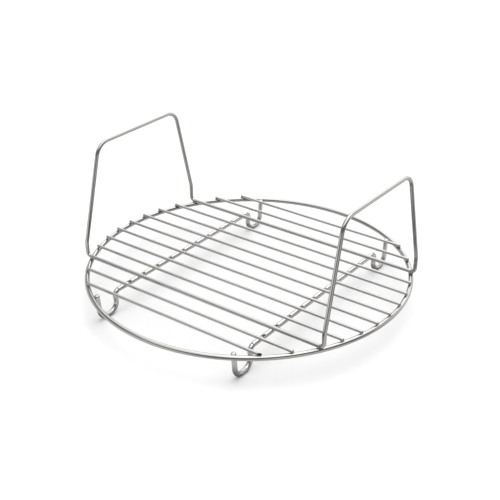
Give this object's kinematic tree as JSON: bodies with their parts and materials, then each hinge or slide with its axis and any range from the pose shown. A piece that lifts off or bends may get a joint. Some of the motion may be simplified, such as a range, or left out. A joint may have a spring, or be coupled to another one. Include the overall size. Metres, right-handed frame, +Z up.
{
  "type": "cooling rack",
  "caption": "Round welded wire cooling rack with a parallel-wire grille, low U-shaped feet and two fixed upright handles for lifting it.",
  "frame": {"origin": "on the bench, under the middle of the rim", "axes": "+Z up; X along the grille wires, from one handle to the other; Y along the leg wires"},
  "size_m": [0.2998, 0.2998, 0.135],
  "materials": {
    "rim_steel": "bright drawn stainless wire",
    "leg_steel": "bright drawn stainless wire",
    "handle_steel": "bright drawn stainless wire",
    "grille_steel": "bright drawn stainless wire"
  },
  "bodies": {
    "root": {"rim": "rim_steel", "leg_wire_left": "leg_steel", "leg_wire_right": "leg_steel", "handle_loop": "handle_steel", "grille_wire_01": "grille_steel", "grille_wire_02": "grille_steel", "grille_wire_03": "grille_steel", "grille_wire_04": "grille_steel", "grille_wire_05": "grille_steel", "grille_wire_06": "grille_steel", "grille_wire_07": "grille_steel", "grille_wire_08": "grille_steel", "grille_wire_09": "grille_steel", "grille_wire_10": "grille_steel", "grille_wire_11": "grille_steel"}
  },
  "joints": []
}
